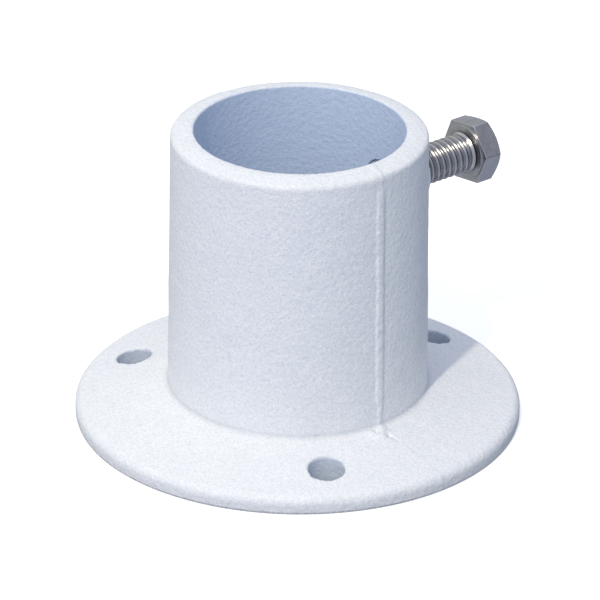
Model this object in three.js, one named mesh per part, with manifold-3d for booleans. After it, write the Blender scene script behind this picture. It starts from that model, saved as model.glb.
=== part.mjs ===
// Stanchion base: a white-coated aluminium casting (round flange and tube socket) with one hex-head set bolt.
// Millimetres, +Z up along the socket, origin at the centre of the flange's bottom face, +X out along the bolt.
import * as THREE from 'three';
import { mergeVertices } from 'three/addons/utils/BufferGeometryUtils.js';
import Module from 'manifold-3d';

// Driving dimensions.
const flange = { radius: 54, edge: 4.2, topRound: 1.7, bottomRound: 0.5 };
const socket = {
  bore: 25.2,        // radius, for a 48.3 mm tube
  height: 74.7,      // to the inner edge of the rim, the highest point
  topRadius: 30.7,
  footRadius: 31.5,  // the outside is drafted
  footHeight: 8.6,   // where the flange's shallow cone meets the socket
  footFillet: 0.7,
  rimDrop: 1.2,      // the rim falls outwards by this much
  rimRound: 0.9,
  boreBreak: 0.4,
};
const deckHoles = { count: 3, circleRadius: 43, radius: 4.5 };
const bead = { width: 1.6, height: 0.25 };  // casting bead along the parting plane, x = 0
const boss = { faceRadius: 7.6, rootRadius: 9.4, proud: 4.5, round: 1 };
const bolt = {
  height: 54.1,          // of its axis above the deck
  seatRadius: 51.5,      // from the socket's axis to the washer face, at rest
  threadRadius: 4.7625,  // 3/8 in
  length: 25.4,          // under the head
  tipChamfer: 1,
  headHeight: 5.55,
  acrossFlats: 14.7,
  washerFaceRadius: 6.9,
  washerFaceHeight: 0.4,
  headTurn: 22.5,        // degrees, how the hexagon stands
  chamferDisc: 13.8,     // diameter of the flat on top of the head
  chamferAngle: 30,
};
const tappedHoleGap = 0.3;  // between the bolt and its hole
const cutOverrun = 1;       // how far a cutting shape passes the surface that it cuts
const outlineSteps = 3;     // chords in one rounded corner
const roundSides = 72;
const boltSides = 32;
const weldDistance = 1e-4;
const coatColour = 0xf1f3f6;
const steelColour = 0x9a9b9c;

const wasm = await Module();
wasm.setup();

function toSolid(geometry) {
  const bare = geometry.clone();
  bare.deleteAttribute('normal');
  bare.deleteAttribute('uv');
  const merged = mergeVertices(bare, weldDistance);
  const vertProperties = Float32Array.from(merged.attributes.position.array);
  const triVerts = Uint32Array.from(merged.index.array);
  return new wasm.Manifold(new wasm.Mesh({ numProp: 3, vertProperties, triVerts }));
}

function toGeometry(solid) {
  const mesh = solid.getMesh();
  const geometry = new THREE.BufferGeometry();
  geometry.setAttribute('position', new THREE.BufferAttribute(mesh.vertProperties, 3));
  geometry.setIndex(new THREE.BufferAttribute(mesh.triVerts, 1));
  geometry.computeVertexNormals();
  return geometry;
}

// Points of a closed polygon whose corners [x, y, radius] are rounded by arcs.
function roundedOutline(corners) {
  const points = [];
  corners.forEach(([x, y, radius = 0], i) => {
    const corner = new THREE.Vector2(x, y);
    if (radius === 0) {
      points.push(corner);
      return;
    }
    const before = corners.at(i - 1);
    const after = corners[(i + 1) % corners.length];
    const back = new THREE.Vector2(before[0], before[1]).sub(corner).normalize();
    const ahead = new THREE.Vector2(after[0], after[1]).sub(corner).normalize();
    const halfAngle = Math.acos(back.dot(ahead)) / 2;
    const middle = back.clone().add(ahead).normalize();
    const centre = corner.clone().addScaledVector(middle, radius / Math.sin(halfAngle));
    const reach = radius / Math.tan(halfAngle);
    const start = corner.clone().addScaledVector(back, reach).sub(centre);
    const end = corner.clone().addScaledVector(ahead, reach).sub(centre);
    const turn = Math.atan2(start.cross(end), start.dot(end));
    for (let step = 0; step <= outlineSteps; step += 1) {
      const arm = start.clone().rotateAround(new THREE.Vector2(), (turn * step) / outlineSteps);
      points.push(centre.clone().add(arm));
    }
  });
  return points;
}

// A solid of revolution about Z from corners [radius, z, rounding] that run anticlockwise.
function turned(corners, sides) {
  const points = roundedOutline(corners);
  points.push(points[0].clone());
  return toSolid(new THREE.LatheGeometry(points, sides).rotateX(Math.PI / 2));
}

// A plain cylinder about Z, from z = low to z = high.
function rod(radius, low, high, sides) {
  const geometry = new THREE.CylinderGeometry(radius, radius, high - low, sides);
  return toSolid(geometry.rotateX(Math.PI / 2).translate(0, 0, (low + high) / 2));
}

// A cylinder about the bolt's axis, from x = low to x = high.
function crossRod(radius, low, high) {
  return rod(radius, low, high, boltSides).rotate([0, 90, 0]).translate([0, 0, bolt.height]);
}

function castingBody() {
  const midRim = (socket.bore + socket.topRadius) / 2;
  return turned([
    [socket.bore, 0, socket.boreBreak],
    [flange.radius, 0, flange.bottomRound],
    [flange.radius, flange.edge, flange.topRound],
    [socket.footRadius, socket.footHeight, socket.footFillet],
    [socket.topRadius, socket.height - socket.rimDrop, socket.rimRound],
    [midRim, socket.height - socket.rimDrop / 4, socket.rimRound],
    [socket.bore, socket.height, socket.boreBreak],
  ], roundSides);
}

// The raised pad that the bolt is tapped through, a shallow cone that grows out of the socket's wall.
function bossPad() {
  const wallAtBolt = THREE.MathUtils.mapLinear(
    bolt.height, socket.footHeight, socket.height, socket.footRadius, socket.topRadius);
  const root = (socket.bore + wallAtBolt) / 2;
  const face = wallAtBolt + boss.proud;
  const pad = turned([
    [0, root],
    [boss.rootRadius, root],
    [boss.faceRadius, face, boss.round],
    [0, face],
  ], boltSides);
  return pad.rotate([0, 90, 0]).translate([0, 0, bolt.height]);
}

// One half of the bead, which runs up the flange's rim, over its top and up the socket's wall.
function partingBead(side) {
  const inside = (socket.bore + socket.topRadius) / 2;
  const start = flange.bottomRound;
  const end = socket.height - socket.rimDrop - socket.rimRound;
  const points = roundedOutline([
    [inside, start],
    [flange.radius + bead.height, start],
    [flange.radius + bead.height, flange.edge + bead.height, flange.topRound],
    [socket.footRadius + bead.height, socket.footHeight + bead.height, socket.footFillet],
    [socket.topRadius + bead.height, end],
    [inside, end],
  ]);
  const strip = new THREE.ExtrudeGeometry(new THREE.Shape(points), { depth: bead.width, bevelEnabled: false });
  strip.translate(0, 0, -bead.width / 2).rotateX(Math.PI / 2).rotateZ((side * Math.PI) / 2);
  return toSolid(strip);
}

function casting() {
  let solid = castingBody().add(bossPad()).add(partingBead(1)).add(partingBead(-1));
  for (let i = 0; i < deckHoles.count; i += 1) {
    const hole = rod(deckHoles.radius, -cutOverrun, socket.footHeight + cutOverrun, boltSides);
    const turn = (360 * i) / deckHoles.count;
    solid = solid.subtract(hole.translate([deckHoles.circleRadius, 0, 0]).rotate([0, 0, turn]));
  }
  return solid.subtract(crossRod(bolt.threadRadius + tappedHoleGap, socket.bore / 2, flange.radius));
}

// The bolt about Z, with its washer face on z = 0 and its head above.
function setBolt() {
  const top = bolt.washerFaceHeight + bolt.headHeight;
  const shank = turned([
    [0, -bolt.length],
    [bolt.threadRadius - bolt.tipChamfer, -bolt.length],
    [bolt.threadRadius, -bolt.length + bolt.tipChamfer],
    [bolt.threadRadius, 0],
    [bolt.washerFaceRadius, 0],
    [bolt.washerFaceRadius, top / 2],
    [0, top / 2],
  ], boltSides);
  const cornerRadius = bolt.acrossFlats / Math.sqrt(3);
  const coneRadius = cornerRadius + cutOverrun;
  const coneSlope = Math.tan(THREE.MathUtils.degToRad(bolt.chamferAngle));
  const discRadius = bolt.chamferDisc / 2;
  const hexagon = new THREE.CylinderGeometry(cornerRadius, cornerRadius, bolt.headHeight, 6);
  hexagon.rotateX(Math.PI / 2).rotateZ(THREE.MathUtils.degToRad(bolt.headTurn) + Math.PI / 6);
  hexagon.translate(0, 0, bolt.washerFaceHeight + bolt.headHeight / 2);
  const chamferCone = turned([
    [0, -cutOverrun],
    [coneRadius, -cutOverrun],
    [coneRadius, top - (coneRadius - discRadius) * coneSlope],
    [discRadius, top],
    [0, top],
  ], boltSides);
  return toSolid(hexagon).intersect(chamferCone).add(shank);
}

function part(name, solid, colour, roughness, metalness) {
  const material = new THREE.MeshStandardMaterial({ color: colour, roughness, metalness });
  const mesh = new THREE.Mesh(toGeometry(solid), material);
  mesh.name = name;
  return mesh;
}

const base = new THREE.Group();
base.add(part('base_casting', casting(), coatColour, 0.4, 0));

const boltPart = part('set_bolt', setBolt(), steelColour, 0.3, 1);
boltPart.rotation.y = Math.PI / 2;
boltPart.position.set(bolt.seatRadius, 0, bolt.height);
base.add(boltPart);

export default base;
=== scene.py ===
"""Stanchion base: a white-coated aluminium casting, flange and tube socket, with a stainless set bolt."""

import math

import bmesh
import bpy
import numpy as np
from mathutils import Matrix, Vector


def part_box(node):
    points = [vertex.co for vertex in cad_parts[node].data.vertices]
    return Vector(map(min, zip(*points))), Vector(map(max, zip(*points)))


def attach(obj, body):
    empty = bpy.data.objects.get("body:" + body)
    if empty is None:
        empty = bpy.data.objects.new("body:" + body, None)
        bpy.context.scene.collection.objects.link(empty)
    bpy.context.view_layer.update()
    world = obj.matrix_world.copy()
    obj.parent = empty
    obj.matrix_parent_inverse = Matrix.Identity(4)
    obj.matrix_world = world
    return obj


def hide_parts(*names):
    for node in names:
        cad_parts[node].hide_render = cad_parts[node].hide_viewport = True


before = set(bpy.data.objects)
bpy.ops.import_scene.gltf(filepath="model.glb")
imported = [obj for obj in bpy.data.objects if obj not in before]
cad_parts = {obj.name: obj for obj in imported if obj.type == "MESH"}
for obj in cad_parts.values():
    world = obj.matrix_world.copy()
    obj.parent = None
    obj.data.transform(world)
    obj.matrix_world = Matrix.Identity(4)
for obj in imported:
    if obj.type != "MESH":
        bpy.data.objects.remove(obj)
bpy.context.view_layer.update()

MM = 0.001
casting_low, casting_high = (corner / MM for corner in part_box("base_casting"))
bolt_low, bolt_high = (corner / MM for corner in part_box("set_bolt"))

# Casting, in millimetres. The frame gives its overall size and the rest is named here. Its skin is a net of
# points, one in each cell of a grid, which is evened a few times.
FLANGE_RADIUS = casting_high.x
FLANGE_EDGE = 4.2
FLANGE_TOP_ROUND = 1.8
FLANGE_BOTTOM_ROUND = 0.6
BORE_RADIUS = 25.2
SOCKET_HEIGHT = casting_high.z
SOCKET_TOP_RADIUS = 30.7
SOCKET_FOOT_RADIUS = 31.5
FOOT_HEIGHT = 8.6
FOOT_FILLET = 0.4
RIM_DROP = 1.2
RIM_ROUND = 0.7
EDGE_BREAK = 0.4
HOLE_BREAK = 0.5
TAPPED_BREAK = 0.05
DECK_HOLES = 3
DECK_HOLE_CIRCLE = 43.0
DECK_HOLE_RADIUS = 4.3
BOSS_FACE_RADIUS = 7.6
BOSS_ROOT_RADIUS = 9.4
BOSS_PROUD = 4.4
BOSS_ROUND = 1.0
BOSS_FILLET = 1.8
BEAD_HEIGHT = 0.42
BEAD_MIDDLE = -0.55
BEAD_HALF_WIDTH = 1.1
BEAD_FLANK = 0.9
SEAM_HEIGHT = 0.1
SEAM_HALF_WIDTH = 0.8
CELL = 0.84
FINE_CELL = 0.42
FINEST_CELL = 0.28
EVENING_ROUNDS = 4

# Set bolt, in millimetres: a 3/8 in hexagon bolt, threaded up to its head, whose end is flush with the bore.
BOLT_HEIGHT = (bolt_low.z + bolt_high.z) / 2
BOLT_SEAT = 51.5
BOLT_TIP = 25.25
HEAD_END = bolt_high.x
THREAD_RADIUS = 4.9
THREAD_PITCH = 1.8
THREAD_DEPTH = 0.75
THREAD_END = -1.0
COLLAR_RADIUS = 5.2
NECK_RADIUS = 4.4
TAPPED_RADIUS = 4.95
COUNTERSINK = 0.8
ACROSS_FLATS = 14.7
HEAD_TURN = math.radians(22.5)
WASHER_RADIUS = 6.9
WASHER_HEIGHT = 0.4

# View: azimuth and elevation in degrees, target and floor height in millimetres, distance in metres.
VIEW_DIRECTION = (-39.3, 26.26)
VIEW_TARGET = (0.28, -0.23, 29.45)
VIEW_DISTANCE = 1.204
VIEW_LEAN = math.radians(0.5)
FLOOR = -0.03

# Light, as linear colours: the sun, the dome from above and below, then broad lamps by azimuth and elevation.
SUN_DIRECTION = (-62, 55)
SUN_STRENGTH = 1.511
SUN_COLOUR = (1, 0.903, 0.702)
SUN_WIDTH = math.radians(2)
SKY_ABOVE = (0.478, 0.508, 0.625)
SKY_BELOW = (0.446, 0.499, 0.643)
SOFT_LAMPS = (
    (-160, 15, (0.317, 0.327, 0.222)),
    (-70, 15, (0.255, 0.258, 0.385)),
    (-25, 15, (0.181, 0.221, 0.201)),
    (134, 37, (0.2, 0.21, 0.26)),
)


# ---------------------------------------------------------------- distances, in millimetres, negative inside

def fillet_join(a, b, radius):
    """Union of two distances, with a fillet where their surfaces meet."""
    corner = np.hypot(np.maximum(radius - a, 0), np.maximum(radius - b, 0))
    return np.maximum(radius, np.minimum(a, b)) - corner


def round_cut(a, b, radius):
    """What two distances have in common, with a rounded edge where their surfaces meet."""
    corner = np.hypot(np.maximum(radius + a, 0), np.maximum(radius + b, 0))
    return np.minimum(-radius, np.maximum(a, b)) + corner


def ripple(x, y, z, wavelength, seed, waves=20):
    """Smooth random unevenness of about 1 either way: plane waves in random directions."""
    chance = np.random.default_rng(seed)
    total = 0
    for _ in range(waves):
        way = chance.normal(size=3)
        way *= 2 * math.pi / (wavelength * chance.uniform(0.7, 1.4) * np.linalg.norm(way))
        total = total + np.cos(x * way[0] + y * way[1] + z * way[2] + chance.uniform(0, 2 * math.pi))
    return total * math.sqrt(2 / waves) / 2


def wall_radius(z):
    """The socket's outside radius, which has a slight draft."""
    share = (z - FOOT_HEIGHT) / (SOCKET_HEIGHT - FOOT_HEIGHT)
    return SOCKET_FOOT_RADIUS + (SOCKET_TOP_RADIUS - SOCKET_FOOT_RADIUS) * share


def deck_hole_centres():
    turns = 2 * math.pi * np.arange(DECK_HOLES) / DECK_HOLES
    return DECK_HOLE_CIRCLE * np.stack([np.cos(turns), np.sin(turns)], axis=1)


def flange_distance(radius, z):
    slope = (FOOT_HEIGHT - FLANGE_EDGE) / (FLANGE_RADIUS - SOCKET_FOOT_RADIUS)
    cone = (z - FLANGE_EDGE - slope * (FLANGE_RADIUS - radius)) / math.hypot(1, slope)
    disc = round_cut(cone, radius - FLANGE_RADIUS, FLANGE_TOP_ROUND)
    return round_cut(disc, -z, FLANGE_BOTTOM_ROUND)


def socket_distance(radius, z):
    share = np.clip((radius - BORE_RADIUS) / (SOCKET_TOP_RADIUS - BORE_RADIUS), 0, 1.2)
    rim = z - (SOCKET_HEIGHT - RIM_DROP * share**2)
    steepness = 2 * RIM_DROP * share / (SOCKET_TOP_RADIUS - BORE_RADIUS)
    tube = round_cut(radius - wall_radius(z), rim / np.hypot(1, steepness), RIM_ROUND)
    return np.maximum(tube, -z)


BOSS_FACE = wall_radius(BOLT_HEIGHT) + BOSS_PROUD


def boss_distance(x, y, z):
    root = (BORE_RADIUS + wall_radius(BOLT_HEIGHT)) / 2
    flare = (BOSS_ROOT_RADIUS - BOSS_FACE_RADIUS) / (BOSS_FACE - root)
    flank = np.hypot(y, z - BOLT_HEIGHT) - BOSS_FACE_RADIUS - flare * (BOSS_FACE - x)
    return np.maximum(round_cut(flank / math.hypot(1, flare), x - BOSS_FACE, BOSS_ROUND), root - x)


def hump(across, half_width):
    """The cross-section of a ridge: 1 in the middle, falling to 0 at its half width."""
    return np.clip(1 - (across / half_width) ** 2, 0, 1)


def smooth_step(value):
    """0 below 0, 1 above 1 and smooth between."""
    share = np.clip(value, 0, 1)
    return share * share * (3 - 2 * share)


def bead_height(x, y, z):
    """How far the bead stands out beside the parting plane, x = 0, and the seam on the flange along it."""
    ragged = 0.2 * ripple(0 * x, y, z, 6, 31) + 0.13 * ripple(0 * x, y, z, 2.4, 33)
    patchy = 0.92 + 0.16 * ripple(0.5 * x, y, z, 3.2, 32)
    width = BEAD_HALF_WIDTH * (0.3 + 0.7 * np.clip((z - FOOT_HEIGHT - 1.5) / 4, 0, 1))
    top = np.clip((SOCKET_HEIGHT - 3.5 - z) / 3, 0, 1)
    across = x - BEAD_MIDDLE
    left = smooth_step((width + ragged + across) / BEAD_FLANK + 0.5)
    right = smooth_step((width - across) / BEAD_FLANK + 0.5)
    bead = BEAD_HEIGHT * patchy * top * left * right
    radius = np.hypot(x, y)
    near_socket = np.clip((42 - radius) / 8, 0.15, 0.7)
    at_edge = 0.8 * np.clip((radius - FLANGE_RADIUS + 2) / 1.5, 0, 1)
    seam = SEAM_HEIGHT * patchy * (near_socket + at_edge) * hump(x - 0.5 * ragged, SEAM_HALF_WIDTH)
    growing = bead * np.clip((z - FOOT_HEIGHT) / 4, 0, 1)
    return np.where(z > FOOT_HEIGHT, np.maximum(growing, seam), seam)


def flash_height(x, y, z):
    """Lumps and pits of flash on the flange where the bead comes down, the same on both sides."""
    lumps = (
        (-4.4, 33.3, 1.1, 0.7), (-3.2, 34.6, 1.2, 0.7), (-1.6, 33.8, 1.2, 0.8), (-0.8, 32.4, 1.1, 0.5),
        (-3.0, 33.7, 0.6, -1.3), (-2.9, 36.6, 1.1, 0.1), (-2.3, 38.4, 1.1, 0.1), (-1.2, 35.8, 0.6, -0.9),
        (-0.9, 36.5, 0.45, -0.5), (-0.7, 37.6, 0.4, -0.3), (-0.5, 38.8, 0.4, -0.25), (-0.3, 40.2, 0.4, -0.18),
    )
    total = 0
    for side in (-1, 1):
        for along, out, size, height in lumps:
            reach = (x + side * along) ** 2 + (y - side * out) ** 2
            total = total + height * np.exp(-reach / size**2)
    return total * np.exp(-(((z - FOOT_HEIGHT + 0.8) / 2.5) ** 2))


def casting_distance(x, y, z):
    """The whole casting without its bead, flash and unevenness."""
    radius = np.hypot(x, y)
    solid = fillet_join(flange_distance(radius, z), socket_distance(radius, z), FOOT_FILLET)
    solid = fillet_join(solid, boss_distance(x, y, z), BOSS_FILLET)
    solid = round_cut(solid, BORE_RADIUS - radius, EDGE_BREAK)
    for centre_x, centre_y in deck_hole_centres():
        gap = np.hypot(x - centre_x, y - centre_y)
        solid = round_cut(solid, DECK_HOLE_RADIUS - gap, HOLE_BREAK)
    countersink = np.clip(x - BOSS_FACE + COUNTERSINK, 0, COUNTERSINK)
    tapped = np.maximum(np.hypot(y, z - BOLT_HEIGHT) - TAPPED_RADIUS - countersink, -x)
    return round_cut(solid, -tapped, TAPPED_BREAK)


def rough_casting_distance(x, y, z):
    """The casting with its bead and flash, its mould's unevenness and a slight step between the halves."""
    radius = np.hypot(x, y)
    outside = np.clip(z / 0.8, 0, 1) * np.clip((radius - BORE_RADIUS) / 2, 0, 1)
    free = np.clip(z / 1.5, 0, 1) * np.clip((radius - BORE_RADIUS) / 1.5, 0.3, 1)
    across = x - 0.27 * np.clip(SOCKET_TOP_RADIUS - radius, 0, 6)
    step = (0.02 + 0.06 * np.clip((z - FOOT_HEIGHT) / 3, 0, 1)) * np.tanh(across / 0.25)
    uneven = 0.05 * ripple(x, y, z, 14, 21) + 0.022 * ripple(x, y, z, 4.5, 22)
    raised = outside * bead_height(x, y, z) + flash_height(x, y, z)
    return casting_distance(x, y, z) - raised + free * (uneven + step)


# ---------------------------------------------------------------- surfaces from distances

def grid_lines(low, high, step, fine_step, fine_ranges):
    """Positions from low to high, closer together inside the fine ranges."""
    lines = [low]
    while lines[-1] < high:
        fine = any(start <= lines[-1] < end for start, end in fine_ranges)
        lines.append(lines[-1] + (fine_step if fine else step))
    return np.array(lines)


def surface_net(distance, lines):
    """Points and quads of a distance's zero surface, with one point in each grid cell that it crosses."""
    inside = distance(*np.meshgrid(*lines, indexing="ij")) < 0
    corners = [inside[i:i - 1 or None, j:j - 1 or None, k:k - 1 or None]
               for i in (0, 1) for j in (0, 1) for k in (0, 1)]
    crossed = np.logical_or.reduce(corners) & ~np.logical_and.reduce(corners)
    number = np.full(crossed.shape, -1)
    number[crossed] = np.arange(crossed.sum())
    cells = np.nonzero(crossed)
    points = np.stack([(line[n] + line[n + 1]) / 2 for line, n in zip(lines, cells)], axis=1)
    quads = []
    for axis in range(3):
        solid, cell = np.moveaxis(inside, axis, 0), np.moveaxis(number, axis, 0)
        near, far = solid[:-1, 1:-1, 1:-1], solid[1:, 1:-1, 1:-1]
        n, u, v = np.nonzero(near != far)
        ring = np.stack([cell[n, u, v], cell[n, u + 1, v], cell[n, u + 1, v + 1], cell[n, u, v + 1]], axis=1)
        backwards = near[n, u, v] == (axis == 1)
        ring[backwards] = ring[backwards, ::-1]
        quads.append(ring)
    return points, np.concatenate(quads)


def slope_of(distance, points, reach=0.02):
    """The distance's gradient at each point."""
    gradient = np.zeros_like(points)
    for axis in range(3):
        ahead, behind = points.copy(), points.copy()
        ahead[:, axis] += reach
        behind[:, axis] -= reach
        gradient[:, axis] = (distance(*ahead.T) - distance(*behind.T)) / (2 * reach)
    return gradient


def pulled_on(distance, points, rounds=2):
    """The points moved onto the distance's zero surface."""
    for _ in range(rounds):
        gradient = slope_of(distance, points)
        square = np.maximum((gradient**2).sum(axis=1), 0.2)
        points = points - (distance(*points.T) / square)[:, None] * gradient
    return points


def evened(points, quads, share=0.5):
    """Each point moved part of the way to the middle of the quads round it."""
    middles = points[quads].mean(axis=1)
    counts = np.bincount(quads.ravel(), minlength=len(points))
    means = np.stack([np.bincount(quads.ravel(), np.repeat(middles[:, i], 4), len(points)) / counts
                      for i in range(3)], axis=1)
    return points + share * (means - points)


def mesh_object(name, points, faces):
    mesh = bpy.data.meshes.new(name)
    mesh.from_pydata([tuple(p) for p in points * MM], [], [tuple(f) for f in faces])
    mesh.validate()
    mesh.shade_smooth()
    obj = bpy.data.objects.new(name, mesh)
    bpy.context.scene.collection.objects.link(obj)
    return obj


def point_values(obj, name, values):
    layer = obj.data.attributes.new(name, "FLOAT", "POINT")
    layer.data.foreach_set("value", np.asarray(values, np.float32))


def make_casting():
    """The flange, socket, boss and bead as one skin, finer along the bead, at the rims and at the holes."""
    side, past = FLANGE_RADIUS + 1.5, 1.2
    heights = [(-past, 0.6), (2.5, 5), (7, 9.4), (57.6, 59.4), (72, 76)]
    lines = (
        grid_lines(-side, side, CELL, FINEST_CELL, [(-4.4, 2), (24.9, 25.6)]),
        grid_lines(-side, side, CELL, FINE_CELL, [(-42, -32), (-5, 5)]),
        grid_lines(-past, SOCKET_HEIGHT + past, CELL, FINE_CELL, heights),
    )
    points, quads = surface_net(casting_distance, lines)
    points = pulled_on(casting_distance, points)
    for _ in range(EVENING_ROUNDS):
        points = pulled_on(casting_distance, evened(points, quads), rounds=1)
    points = pulled_on(rough_casting_distance, points, rounds=3)
    points[:, 2] = np.maximum(points[:, 2], 0)
    normals = slope_of(rough_casting_distance, points)
    normals /= np.linalg.norm(normals, axis=1)[:, None]
    obj = mesh_object("casting", points, quads)
    obj.data.normals_split_custom_set_from_vertices([tuple(n) for n in normals])
    radius, z = np.hypot(points[:, 0], points[:, 1]), points[:, 2]
    in_bore = np.clip((BORE_RADIUS + 0.35 - radius) / 0.3, 0, 1)
    in_tapped = (np.hypot(points[:, 1], z - BOLT_HEIGHT) < TAPPED_RADIUS + 0.2) & (radius < SOCKET_TOP_RADIUS)
    hole_gap = np.linalg.norm(points[:, None, :2] - deck_hole_centres(), axis=2).min(axis=1)
    in_hole = np.clip((DECK_HOLE_RADIUS + 0.25 - hole_gap) / 0.25, 0, 1)
    foot_gap = np.hypot(radius - SOCKET_FOOT_RADIUS, z - FOOT_HEIGHT)
    at_foot = np.exp(-((foot_gap / 0.8) ** 2))
    # painted shade: the bore, the tapped hole and, less, the deck holes are marked to be drawn darker and
    # bluer
    point_values(obj, "inside", np.maximum(np.maximum(in_bore, in_tapped), 0.4 * in_hole))
    # painted shade: the socket's foot and, less, the deck holes are marked to be drawn darker
    point_values(obj, "crevice_shade", np.maximum(0.5 * at_foot, 0.6 * in_hole))
    return obj


# ---------------------------------------------------------------- set bolt

def head_angles():
    """Directions round the bolt, closest together at the hexagon's corners."""
    offsets = (-24, -18, -12, -6, -1.75, -0.9, 0, 0.9, 1.75, 6, 12, 18, 24, 30)
    return np.radians(sorted(60 * corner + offset for corner in range(6) for offset in offsets))


def hexagon_radius(angles, across_flats, corner=0.3):
    """Distance from the centre to a hexagon with rounded corners at 0, 60, 120 degrees and so on."""
    near = np.mod(angles + math.pi / 6, math.pi / 3) - math.pi / 6
    flat = across_flats / 2 / np.cos(math.pi / 6 - np.abs(near))
    centre = (across_flats / 2 - corner) / math.cos(math.pi / 6)
    arc = centre * np.cos(near) + np.sqrt(np.maximum(corner**2 - (centre * np.sin(near)) ** 2, 0))
    meets = math.atan2(corner / 2, centre + corner * math.cos(math.pi / 6))
    return np.where(np.abs(near) < meets, arc, flat)


def ring(angles, radius, along):
    """Points round the bolt's axis, which is Z here with the head upwards and the washer face at 0."""
    radius, along = np.broadcast_to(radius, angles.shape), np.broadcast_to(along, angles.shape)
    return np.stack([radius * np.cos(angles), radius * np.sin(angles), along], axis=1)


def thread_rows(angles, tip):
    """Rows of points that follow the thread's helix from the tip to the head, held flat at both ends."""
    profile = [(i / 8, (1 - math.cos(2 * math.pi * i / 8)) / 2) for i in range(8)]
    turns = math.ceil(-tip / THREAD_PITCH) + 3
    rows = []
    for turn in range(turns):
        for phase, depth in profile:
            along = tip + THREAD_PITCH * (turn - 1.5 + phase + angles / (2 * math.pi))
            held = np.clip(along, tip, THREAD_END)
            runout = np.clip((held - THREAD_END + 1.2) / 1.2, 0, 1)
            lead_in = np.clip((held - tip - 0.3) / 0.6, 0, 1)
            cut = THREAD_DEPTH * lead_in * (depth * (1 - runout) + 0.45 * runout)
            broken_edge = THREAD_RADIUS - 0.06 + (held - tip) * 1.1
            rows.append(ring(angles, np.minimum(THREAD_RADIUS - cut, broken_edge), held))
    return rows, len(profile)


def head_rows(angles):
    """Rows of points over the collar, the neck, the washer face, the hexagon, its chamfer and the top."""
    top = HEAD_END - BOLT_SEAT
    hexagon = hexagon_radius(angles, ACROSS_FLATS)
    disc = ACROSS_FLATS * 0.46
    chamfer = math.tan(math.radians(30))
    crease = top - (hexagon - disc) * chamfer
    bevel = 0.12
    rim = 0.15
    rows = [ring(angles, r, z) for r, z in (
        (COLLAR_RADIUS - 0.48, THREAD_END + 0.02), (COLLAR_RADIUS - 0.44, THREAD_END + 0.04),
        (COLLAR_RADIUS - 0.08, THREAD_END + 0.56), (COLLAR_RADIUS, THREAD_END + 0.66),
        (COLLAR_RADIUS - 0.1, THREAD_END + 0.74), (NECK_RADIUS, THREAD_END + 0.76), (NECK_RADIUS, -0.05),
        (NECK_RADIUS + 0.1, 0), (WASHER_RADIUS - 0.9, 0),
        (WASHER_RADIUS - 0.12, 0), (WASHER_RADIUS, 0.1), (WASHER_RADIUS, WASHER_HEIGHT - 0.06),
        (WASHER_RADIUS + 0.08, WASHER_HEIGHT))]
    rows.append(ring(angles, hexagon - bevel, WASHER_HEIGHT))
    rows.append(ring(angles, hexagon, WASHER_HEIGHT + bevel))
    rows.extend(ring(angles, hexagon, WASHER_HEIGHT + bevel + (crease - WASHER_HEIGHT - 2 * bevel) * share)
                for share in (0.35, 0.7, 1))
    rows.append(ring(angles, hexagon - bevel, crease + bevel * chamfer))
    rows.append(ring(angles, disc + rim, top - rim * 0.3))
    rows.extend(ring(angles, disc - gap, top) for gap in (rim, 1.5, 3.5, 5.2))
    return rows


def make_bolt():
    """Thread, collar, neck, washer face and hexagon head as one closed skin."""
    angles = head_angles()
    tip = BOLT_TIP - BOLT_SEAT
    threads, per_turn = thread_rows(angles, tip)
    rows = threads + head_rows(angles)
    count = len(angles)
    points = np.concatenate(rows)
    faces = []
    for row in range(len(rows) - 1):
        for column in range(count):
            here, there = row * count + column, row * count + column + 1
            if column == count - 1:
                turn_on = per_turn if row + per_turn < len(threads) - 1 else 0
                there = (row + turn_on) * count
                if row >= len(threads) - 1:
                    there = row * count
            faces.append((here, there, there + count, here + count))
    caps = [tuple(range(count))[::-1], tuple(range((len(rows) - 1) * count, len(rows) * count))]
    obj = mesh_object("bolt", points, faces + caps)
    tidy = bmesh.new()
    tidy.from_mesh(obj.data)
    bmesh.ops.remove_doubles(tidy, verts=tidy.verts, dist=1e-7)
    bmesh.ops.dissolve_degenerate(tidy, edges=tidy.edges, dist=1e-7)
    bmesh.ops.recalc_face_normals(tidy, faces=tidy.faces)
    for edge in tidy.edges:
        edge.smooth = len(edge.link_faces) == 2 and edge.calc_face_angle() < math.radians(28)
    tidy.to_mesh(obj.data)
    tidy.free()
    places = np.array([v.co for v in obj.data.vertices]) / MM
    along = places[:, 2]
    depth = (THREAD_RADIUS - np.hypot(places[:, 0], places[:, 1])) / THREAD_DEPTH
    on_thread = (along < THREAD_END) & (along > tip + 1)
    on_neck = (along > THREAD_END + 0.75) & (along < 0.05) & (depth > THREAD_RADIUS - WASHER_RADIUS + 0.8)
    # painted shade: the thread's grooves and the neck under the head are marked to be drawn darker
    point_values(obj, "groove_shade", np.where(on_thread, np.clip(depth, 0, 1), np.where(on_neck, 1.0, 0.0)))
    point_values(obj, "cut_end", along < tip + 0.01)
    # the bolt's own Z axis lies along X in the frame, with its hexagon turned as the CAD one is
    lie_down = Matrix.Rotation(math.pi / 2, 4, "Y") @ Matrix.Rotation(HEAD_TURN, 4, "Z")
    obj.data.transform(Matrix.Translation(Vector((BOLT_SEAT, 0, BOLT_HEIGHT)) * MM) @ lie_down)
    return obj


# ---------------------------------------------------------------- materials

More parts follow.
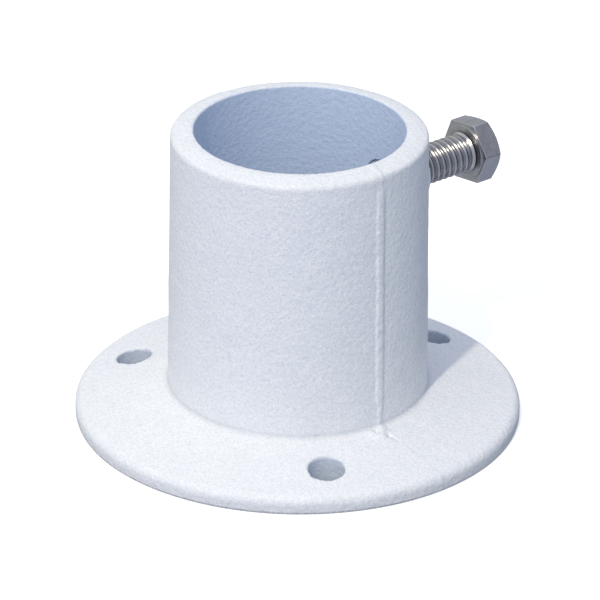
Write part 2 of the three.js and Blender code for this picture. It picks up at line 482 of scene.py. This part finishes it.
class Nodes:
    """A short way to build one node tree."""

    def __init__(self, tree):
        self.tree = tree
        self.tree.nodes.clear()

    def add(self, kind, inputs=None, **settings):
        node = self.tree.nodes.new(kind)
        for key, value in settings.items():
            setattr(node, key, value)
        for key, value in (inputs or {}).items():
            if isinstance(value, bpy.types.NodeSocket):
                self.tree.links.new(value, node.inputs[key])
            else:
                node.inputs[key].default_value = value
        return node

    def noise(self, where, size, detail=2.0, roughness=0.5):
        """Noise whose lumps are about size millimetres across."""
        inputs = {"Vector": where, "Scale": 1 / (size * MM), "Detail": detail, "Roughness": roughness}
        return self.add("ShaderNodeTexNoise", inputs).outputs["Fac"]

    def ramp(self, value, low, high, start=0.0, end=1.0):
        inputs = {"Value": value, "From Min": low, "From Max": high, "To Min": start, "To Max": end}
        return self.add("ShaderNodeMapRange", inputs).outputs["Result"]

    def mix(self, share, first, second):
        node = self.add("ShaderNodeMix", data_type="RGBA")
        for socket, value in zip((node.inputs[0], node.inputs[6], node.inputs[7]), (share, first, second)):
            if isinstance(value, bpy.types.NodeSocket):
                self.tree.links.new(value, socket)
            else:
                socket.default_value = value
        return node.outputs[2]

    def maths(self, operation, first, second):
        return self.add("ShaderNodeMath", {0: first, 1: second}, operation=operation).outputs[0]

    def bump(self, height, depth, normal=None):
        """A bump whose full height is depth millimetres."""
        inputs = {"Height": height, "Distance": depth * MM, "Strength": 1.0}
        if normal is not None:
            inputs["Normal"] = normal
        return self.add("ShaderNodeBump", inputs).outputs["Normal"]


def new_material(name):
    material = bpy.data.materials.new(name)
    material.use_nodes = True
    return material, Nodes(material.node_tree)


def coat_material():
    """White powder coat over a sand casting: orange peel, fine grain, specks and faint mottling, with painted
    shade along the socket's foot, in the deck holes, in the tapped hole and in the bore.
    """
    material, nodes = new_material("white_powder_coat")
    where = nodes.add("ShaderNodeTexCoord").outputs["Object"]
    inside = nodes.add("ShaderNodeAttribute", attribute_name="inside").outputs["Fac"]
    crevice_shade = nodes.add("ShaderNodeAttribute", attribute_name="crevice_shade").outputs["Fac"]
    peel = nodes.noise(where, 1.2, detail=0.5)
    grain = nodes.noise(where, 0.45, detail=2)
    speckle = nodes.ramp(nodes.noise(where, 0.55, detail=3, roughness=0.6), 0.4, 0.72)
    mottle = nodes.ramp(nodes.noise(where, 6, detail=3), 0.3, 0.7)
    colour = nodes.mix(mottle, (0.85, 0.88, 0.91, 1), (0.89, 0.91, 0.935, 1))
    colour = nodes.mix(speckle, colour, (0.71, 0.74, 0.78, 1))
    # painted shade: darker grey-blue along the socket's foot and in the deck holes
    colour = nodes.mix(crevice_shade, colour, (0.55, 0.59, 0.65, 1))
    # painted shade: darker and bluer inside the bore, the tapped hole and the deck holes
    colour = nodes.mix(nodes.maths("MULTIPLY", inside, 0.7), colour, (0.52, 0.65, 0.86, 1))
    roughness = nodes.ramp(grain, 0.3, 0.7, 0.42, 0.56)
    normal = nodes.bump(peel, 0.16)
    normal = nodes.bump(grain, 0.12, normal)
    inputs = {"Base Color": colour, "Roughness": roughness, "Normal": normal, "Specular IOR Level": 0.4}
    shader = nodes.add("ShaderNodeBsdfPrincipled", inputs)
    nodes.add("ShaderNodeOutputMaterial", {"Surface": shader.outputs["BSDF"]})
    return material


def steel_material():
    """Stainless steel with painted shade in the thread's grooves and in the neck under the head, pale and
    matt at its cut end, with fine scratches.
    """
    material, nodes = new_material("stainless_steel")
    where = nodes.add("ShaderNodeTexCoord").outputs["Object"]
    groove_shade = nodes.add("ShaderNodeAttribute", attribute_name="groove_shade").outputs["Fac"]
    cut_end = nodes.add("ShaderNodeAttribute", attribute_name="cut_end").outputs["Fac"]
    smear = nodes.ramp(nodes.noise(where, 2.5, detail=4, roughness=0.6), 0.35, 0.65)
    colour = nodes.mix(smear, (0.42, 0.415, 0.42, 1), (0.52, 0.51, 0.51, 1))
    # painted shade: near black in the thread's grooves and in the neck under the head
    colour = nodes.mix(nodes.maths("MULTIPLY", groove_shade, 0.75), colour, (0.10, 0.10, 0.11, 1))
    colour = nodes.mix(cut_end, colour, (0.68, 0.72, 0.78, 1))
    scratches = nodes.noise(where, 0.18, detail=3, roughness=0.7)
    sheen = nodes.ramp(smear, 0, 1, 0.22, 0.34)
    roughness = nodes.maths("ADD", sheen, nodes.maths("MULTIPLY", cut_end, 0.35))
    inputs = {
        "Base Color": colour, "Metallic": 1.0, "Roughness": roughness, "Normal": nodes.bump(scratches, 0.006),
    }
    shader = nodes.add("ShaderNodeBsdfPrincipled", inputs)
    nodes.add("ShaderNodeOutputMaterial", {"Surface": shader.outputs["BSDF"]})
    return material


def floor_material():
    material, nodes = new_material("pale_floor")
    where = nodes.add("ShaderNodeTexCoord").outputs["Object"]
    colour = nodes.mix(nodes.noise(where, 300, detail=2), (0.93, 0.93, 0.93, 1), (0.96, 0.96, 0.96, 1))
    inputs = {
        "Base Color": colour, "Roughness": 0.9, "Emission Color": (1, 1, 1, 1), "Emission Strength": 0.42,
    }
    shader = nodes.add("ShaderNodeBsdfPrincipled", inputs)
    nodes.add("ShaderNodeOutputMaterial", {"Surface": shader.outputs["BSDF"]})
    return material


# ---------------------------------------------------------------- stage

def direction(azimuth, elevation):
    """From the object outwards: azimuth 0 is towards -Y and 90 towards +X."""
    a, e = math.radians(azimuth), math.radians(elevation)
    return Vector((math.sin(a) * math.cos(e), -math.cos(a) * math.cos(e), math.sin(e)))


def add_camera():
    """A long lens, turned a little about its own axis."""
    camera = bpy.data.objects.new("camera", bpy.data.cameras.new("camera"))
    camera.data.sensor_width = 36
    camera.data.lens = 300
    camera.data.clip_end = 20
    away = direction(*VIEW_DIRECTION)
    target = Vector(VIEW_TARGET) * MM
    lean = Matrix.Rotation(VIEW_LEAN, 4, "Z")
    facing = away.to_track_quat("Z", "Y").to_matrix().to_4x4()
    camera.matrix_world = Matrix.Translation(target + away * VIEW_DISTANCE) @ facing @ lean
    bpy.context.scene.collection.objects.link(camera)
    bpy.context.scene.camera = camera


def add_key_light():
    sun = bpy.data.objects.new("key_light", bpy.data.lights.new("key_light", "SUN"))
    sun.data.energy = SUN_STRENGTH
    sun.data.color = SUN_COLOUR
    sun.data.angle = SUN_WIDTH
    sun.rotation_mode = "QUATERNION"
    sun.rotation_quaternion = direction(*SUN_DIRECTION).to_track_quat("Z", "Y")
    bpy.context.scene.collection.objects.link(sun)


def add_sky():
    """Soft light from above and below and from four broad lamps; the background itself is plain white."""
    world = bpy.data.worlds.new("studio")
    world.use_nodes = True
    nodes = Nodes(world.node_tree)
    facing = nodes.add("ShaderNodeTexCoord").outputs["Generated"]
    lights = [(SKY_ABOVE, Vector((0, 0, 1)), -0.2, 0.8), (SKY_BELOW, Vector((0, 0, -1)), -0.2, 0.8)]
    lights += [(colour, direction(turn, height), 0.3, 0.95) for turn, height, colour in SOFT_LAMPS]
    total = None
    for colour, middle, low, high in lights:
        aligned = nodes.add("ShaderNodeVectorMath", {0: facing, 1: middle}, operation="DOT_PRODUCT")
        glow = nodes.mix(nodes.ramp(aligned.outputs["Value"], low, high), (0, 0, 0, 1), (*colour, 1))
        total = glow if total is None else nodes.add(
            "ShaderNodeVectorMath", {0: total, 1: glow}, operation="ADD").outputs["Vector"]
    seen = nodes.add("ShaderNodeLightPath").outputs["Is Camera Ray"]
    sky = nodes.add("ShaderNodeBackground", {"Color": nodes.mix(seen, total, (1, 1, 1, 1))})
    nodes.add("ShaderNodeOutputWorld", {"Surface": sky.outputs["Background"]})
    bpy.context.scene.world = world


def add_floor():
    """A pale floor that the camera sees, a hair below the flange; it throws no light back on the object."""
    half = 6000
    sides = ((-half, -half), (half, -half), (half, half), (-half, half))
    corners = np.array([(x, y, FLOOR) for x, y in sides])
    floor = mesh_object("floor", corners, [(0, 1, 2, 3)])
    floor.data.materials.append(floor_material())
    floor.visible_diffuse = False
    floor.visible_glossy = False


def add_standing_place():
    """The floor round the flange's foot, which unlike the rest keeps light from below off it."""
    turns = np.linspace(0, 2 * math.pi, 48, endpoint=False)
    radius = FLANGE_RADIUS + 3
    heights = np.full(len(turns), FLOOR - 0.02)
    rim = np.stack([radius * np.cos(turns), radius * np.sin(turns), heights], axis=1)
    place = mesh_object("standing_place", rim, [tuple(range(len(turns)))])
    material, nodes = new_material("shaded_floor")
    shader = nodes.add("ShaderNodeBsdfPrincipled", {"Base Color": (0.5, 0.5, 0.5, 1), "Roughness": 0.9})
    nodes.add("ShaderNodeOutputMaterial", {"Surface": shader.outputs["BSDF"]})
    place.data.materials.append(material)
    place.visible_camera = False


add_camera()
add_key_light()
add_sky()
add_floor()
add_standing_place()

casting = make_casting()
casting.data.materials.append(coat_material())
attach(casting, "base")
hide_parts("base_casting")

bolt = make_bolt()
bolt.data.materials.append(steel_material())
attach(bolt, "bolt")
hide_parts("set_bolt")

bpy.context.scene.view_settings.view_transform = "Standard"
